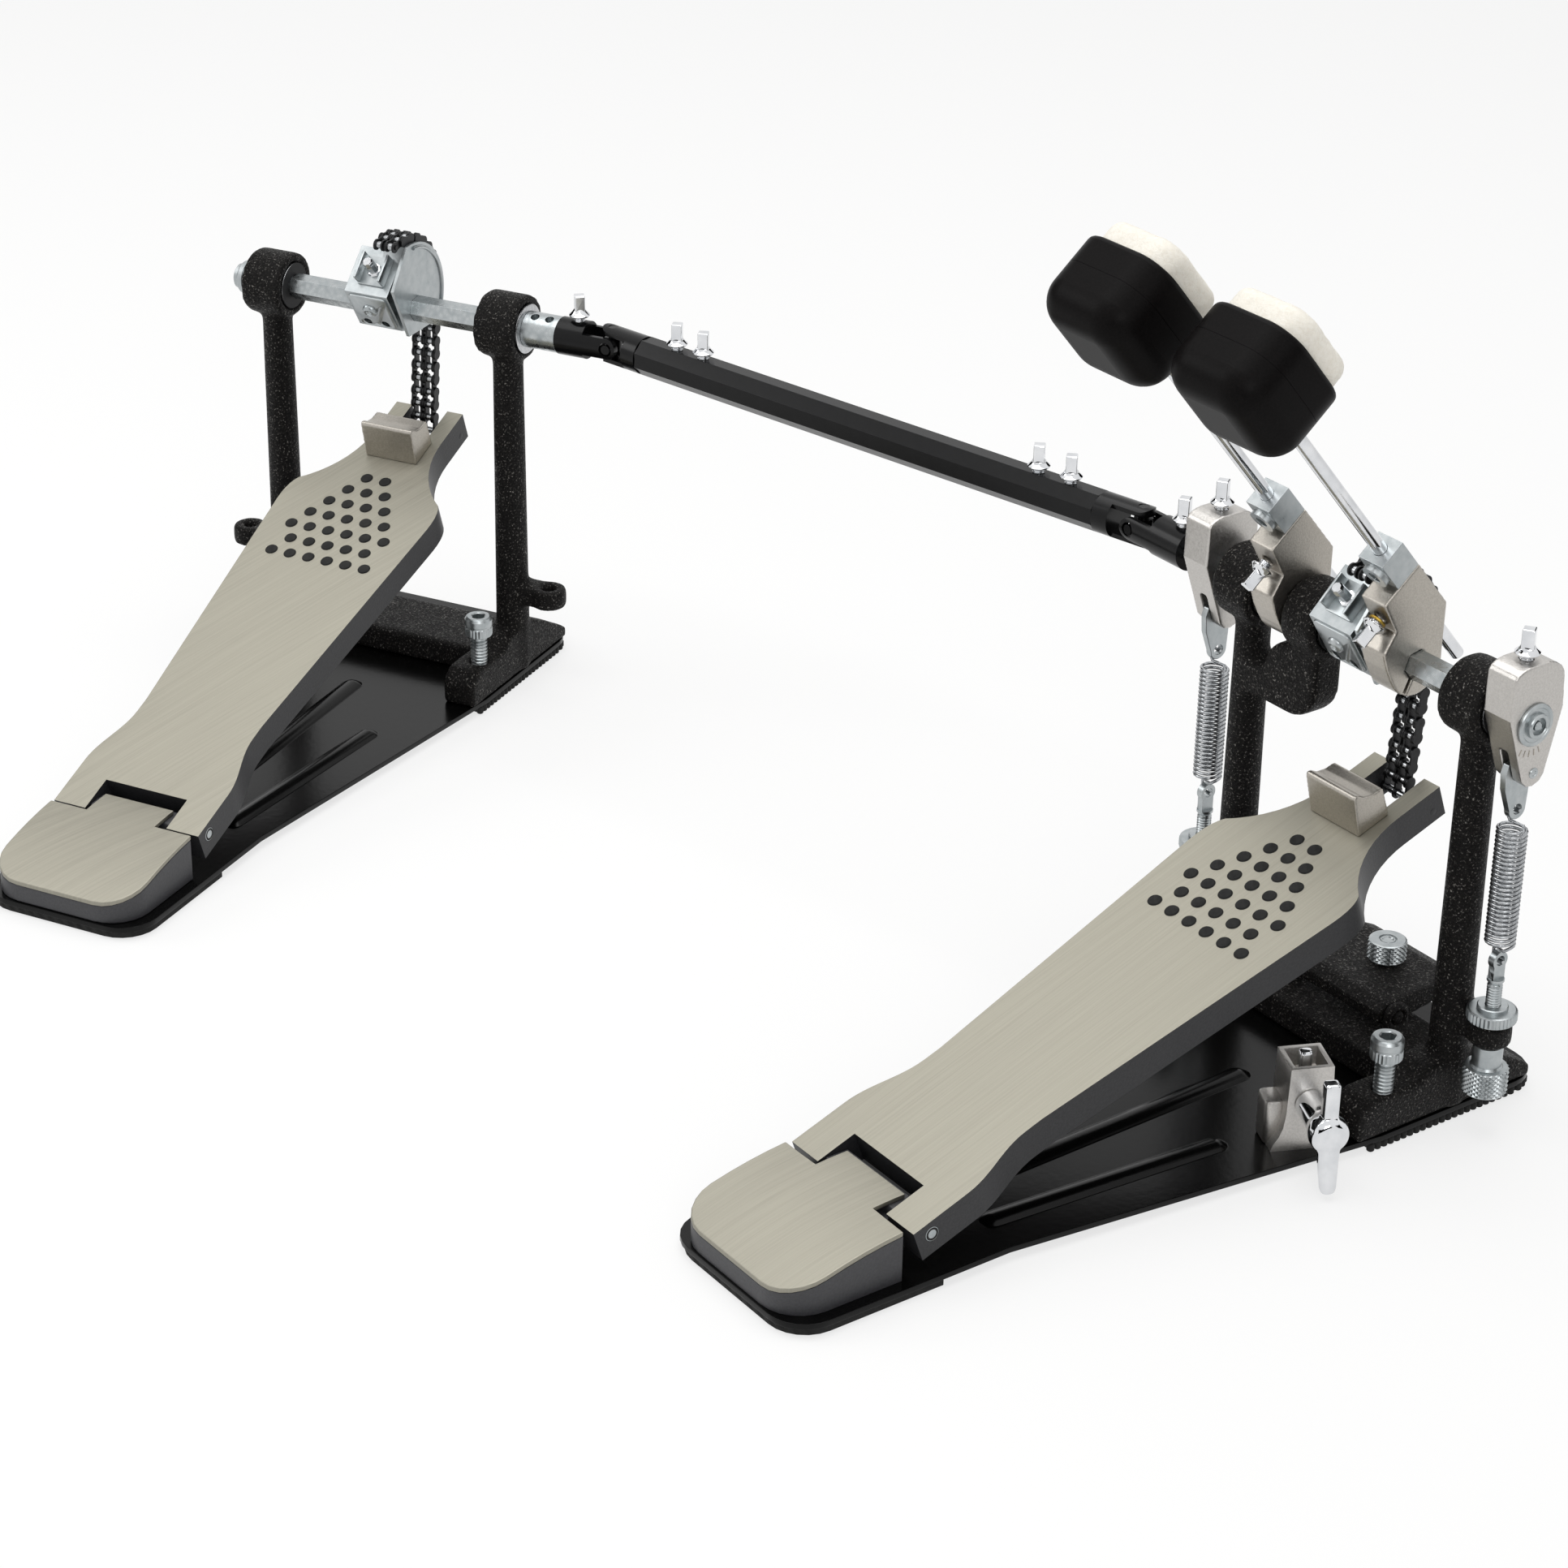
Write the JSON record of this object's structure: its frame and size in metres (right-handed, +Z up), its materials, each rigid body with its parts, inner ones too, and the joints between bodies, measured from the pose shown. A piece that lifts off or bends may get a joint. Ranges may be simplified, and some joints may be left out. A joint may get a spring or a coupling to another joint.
{
  "type": "double bass drum pedal",
  "caption": "Double bass drum pedal: hinged footboards pull chains over sprockets to swing felt beaters, the second pedal through a jointed drive shaft.",
  "frame": {"origin": "on the floor under the hinge pin of the main (right) pedal, in the middle of its width", "axes": "+X to the player's right, +Y from heel to drum, +Z up"},
  "size_m": [0.7063, 0.4483, 0.3495],
  "materials": {
    "gloss_black_plate": "glossy black",
    "rubber": "matte",
    "black_powder_coat": "rough powder coat",
    "bearing_steel": "ground",
    "charcoal_paint": "satin",
    "brushed_plate": "brushed",
    "plated_steel": "zinc plated",
    "cast_zinc": "matte cast",
    "chain_steel": "oiled",
    "chrome": "polished",
    "spring_wire": "bright",
    "black_plastic": "satin",
    "felt": "felt",
    "satin_black_tube": "satin"
  },
  "bodies": {
    "base": {"right_base_plate": "gloss_black_plate", "left_base_plate": "gloss_black_plate", "base_pads": "rubber", "right_frame": "black_powder_coat", "left_frame": "black_powder_coat", "axle_bearings": "bearing_steel", "right_heel_block": "charcoal_paint", "left_heel_block": "charcoal_paint", "heel_plates": "brushed_plate", "hinge_pins": "plated_steel", "spur_screws": "plated_steel", "spring_eye_bolts": "plated_steel", "spring_nuts": "plated_steel", "clamp_block": "cast_zinc"},
    "right_axle_body": {"right_axle": "plated_steel", "right_sprocket": "plated_steel", "right_chain_wrap": "chain_steel", "right_axle_screws": "chrome", "right_beater_hub": "cast_zinc", "right_rod_holder": "plated_steel", "right_cam": "cast_zinc"},
    "right_beater": {"right_beater_rod": "chrome", "right_beater_shell": "black_plastic", "right_beater_felt": "felt"},
    "right_board": {"right_footboard": "charcoal_paint", "right_toe_stop": "cast_zinc"},
    "right_chain": {"right_chain_run": "chain_steel"},
    "right_chain_a": {"right_chain_link_1": "chain_steel"},
    "right_chain_b": {"right_chain_link_2": "chain_steel"},
    "right_cam_link": {"right_link": "plated_steel"},
    "right_coil": {"right_spring": "spring_wire"},
    "slave_axle_body": {"slave_shaft": "plated_steel", "slave_yoke": "satin_black_tube", "slave_shaft_screws": "chrome", "left_beater_hub": "cast_zinc", "left_rod_holder": "plated_steel", "left_cam": "cast_zinc"},
    "left_beater": {"left_beater_rod": "chrome", "left_beater_shell": "black_plastic", "left_beater_felt": "felt"},
    "left_cam_link": {"left_link": "plated_steel"},
    "left_coil": {"left_spring": "spring_wire"},
    "drive_shaft": {"drive_tube": "satin_black_tube", "drive_yokes": "satin_black_tube", "joint_crosses": "plated_steel", "drive_screws": "chrome"},
    "left_axle_body": {"left_axle": "plated_steel", "left_sprocket": "plated_steel", "left_chain_wrap": "chain_steel", "left_axle_screws": "chrome", "left_yoke": "satin_black_tube"},
    "left_board": {"left_footboard": "charcoal_paint", "left_toe_stop": "cast_zinc"},
    "left_chain": {"left_chain_run": "chain_steel"},
    "left_chain_a": {"left_chain_link_1": "chain_steel"},
    "left_chain_b": {"left_chain_link_2": "chain_steel"},
    "hoop_jaw_body": {"hoop_jaw": "black_powder_coat"},
    "jaw_knob": {"clamp_knob": "plated_steel"},
    "wing_bolt_body": {"wing_bolt": "chrome"}
  },
  "joints": [
    {"name": "right_stroke", "type": "hinge", "parent": "base", "child": "right_axle_body", "pos_m": [0, 0.239, 0.18], "axis": [-1, 0, 0], "range_deg": [0, 43], "stiffness_Nm_per_rad": 0.8, "springref_deg": -17.19},
    {"name": "left_stroke", "type": "hinge", "parent": "base", "child": "slave_axle_body", "pos_m": [0, 0.239, 0.18], "axis": [-1, 0, 0], "range_deg": [0, 43], "stiffness_Nm_per_rad": 0.8, "springref_deg": -17.19},
    {"name": "right_board_press", "type": "hinge", "parent": "base", "child": "right_board", "pos_m": [0, 0, 0.0223], "axis": [-1, 0, 0], "range_deg": [0, 4.53]},
    {"name": "right_chain_swing", "type": "hinge", "parent": "right_board", "child": "right_chain", "pos_m": [0, 0.25685, 0.11126], "axis": [-1, 0, 0], "range_deg": [-6.33, 0]},
    {"name": "right_link_a", "type": "slide", "parent": "base", "child": "right_chain_a", "axis": [0, 0.1962, -0.9806], "range_m": [0, 0.02066]},
    {"name": "right_link_b", "type": "hinge", "parent": "base", "child": "right_chain_b", "pos_m": [0, 0.17727, 0.15955], "axis": [-1, 0, 0], "range_deg": [0, 13.17]},
    {"name": "right_cam_link_swing", "type": "hinge", "parent": "right_axle_body", "child": "right_cam_link", "pos_m": [0.0735, 0.2413, 0.1592], "axis": [-1, 0, 0], "range_deg": [-53.8, 0]},
    {"name": "right_spring_stretch", "type": "slide", "parent": "right_cam_link", "child": "right_coil", "axis": [0, 0, -1], "range_m": [0, 0.00557], "deforming": ["right_spring"]},
    {"name": "right_beater_height", "type": "slide", "parent": "right_axle_body", "child": "right_beater", "axis": [0, -0.6428, 0.766], "range_m": [-0.015, 0.01]},
    {"name": "left_axle_turn", "type": "hinge", "parent": "base", "child": "left_axle_body", "pos_m": [-0.53064, 0.11994, 0.18], "axis": [-0.8763, -0.4818, 0], "range_deg": [0, 43.91]},
    {"name": "drive_turn", "type": "hinge", "parent": "base", "child": "drive_shaft", "pos_m": [-0.43381, 0.17317, 0.18], "axis": [-0.9758, -0.2186, 0], "range_deg": [0, 43.91]},
    {"name": "left_board_press", "type": "hinge", "parent": "base", "child": "left_board", "pos_m": [-0.4155, -0.0895, 0.0223], "axis": [-0.8763, -0.4818, 0], "range_deg": [0, 4.53]},
    {"name": "left_chain_swing", "type": "hinge", "parent": "left_board", "child": "left_chain", "pos_m": [-0.53924, 0.13558, 0.11126], "axis": [-0.8763, -0.4818, 0], "range_deg": [-6.33, 0]},
    {"name": "left_link_a", "type": "slide", "parent": "base", "child": "left_chain_a", "axis": [-0.0945, 0.1719, -0.9806], "range_m": [0, 0.02066]},
    {"name": "left_link_b", "type": "hinge", "parent": "base", "child": "left_chain_b", "pos_m": [-0.5009, 0.06584, 0.15955], "axis": [-0.8763, -0.4818, 0], "range_deg": [0, 13.17]},
    {"name": "left_cam_link_swing", "type": "hinge", "parent": "slave_axle_body", "child": "left_cam_link", "pos_m": [-0.094, 0.2413, 0.1592], "axis": [-1, 0, 0], "range_deg": [-53.8, 0]},
    {"name": "left_spring_stretch", "type": "slide", "parent": "left_cam_link", "child": "left_coil", "axis": [0, 0, -1], "range_m": [0, 0.00557], "deforming": ["left_spring"]},
    {"name": "left_beater_height", "type": "slide", "parent": "slave_axle_body", "child": "left_beater", "axis": [0, -0.6428, 0.766], "range_m": [-0.015, 0.01]},
    {"name": "wing_turn", "type": "hinge", "parent": "base", "child": "wing_bolt_body", "pos_m": [0.0444, 0.1736, 0.0265], "axis": [0.9092, -0.4163, 0], "range_deg": [0, 270]},
    {"name": "jaw_tilt", "type": "hinge", "parent": "base", "child": "hoop_jaw_body", "pos_m": [0, 0.243, 0.0255], "axis": [1, 0, 0], "range_deg": [0, 8.5]},
    {"name": "knob_turn", "type": "hinge", "parent": "hoop_jaw_body", "child": "jaw_knob", "pos_m": [-0.007, 0.265, 0.031], "axis": [0, 0, 1], "range_deg": [-180, 180]}
  ],
  "couplings": [
    {"joint": "right_board_press", "follows": "right_stroke", "ratio": 0.10209},
    {"joint": "right_chain_swing", "follows": "right_stroke", "ratio": -0.1432},
    {"joint": "right_link_a", "follows": "right_stroke", "m_per_rad": 0.026867},
    {"joint": "right_link_b", "follows": "right_stroke", "ratio": 0.29908},
    {"joint": "right_cam_link_swing", "follows": "right_stroke", "ratio": -1.2254},
    {"joint": "right_spring_stretch", "follows": "right_stroke", "m_per_rad": 0.007028},
    {"joint": "left_axle_turn", "follows": "left_stroke", "ratio": 1},
    {"joint": "drive_turn", "follows": "left_stroke", "ratio": 1},
    {"joint": "left_board_press", "follows": "left_stroke", "ratio": 0.10209},
    {"joint": "left_chain_swing", "follows": "left_stroke", "ratio": -0.1432},
    {"joint": "left_link_a", "follows": "left_stroke", "m_per_rad": 0.026867},
    {"joint": "left_link_b", "follows": "left_stroke", "ratio": 0.29908},
    {"joint": "left_cam_link_swing", "follows": "left_stroke", "ratio": -1.2254},
    {"joint": "left_spring_stretch", "follows": "left_stroke", "m_per_rad": 0.007028},
    {"joint": "jaw_tilt", "follows": "wing_turn", "ratio": 0.03}
  ]
}
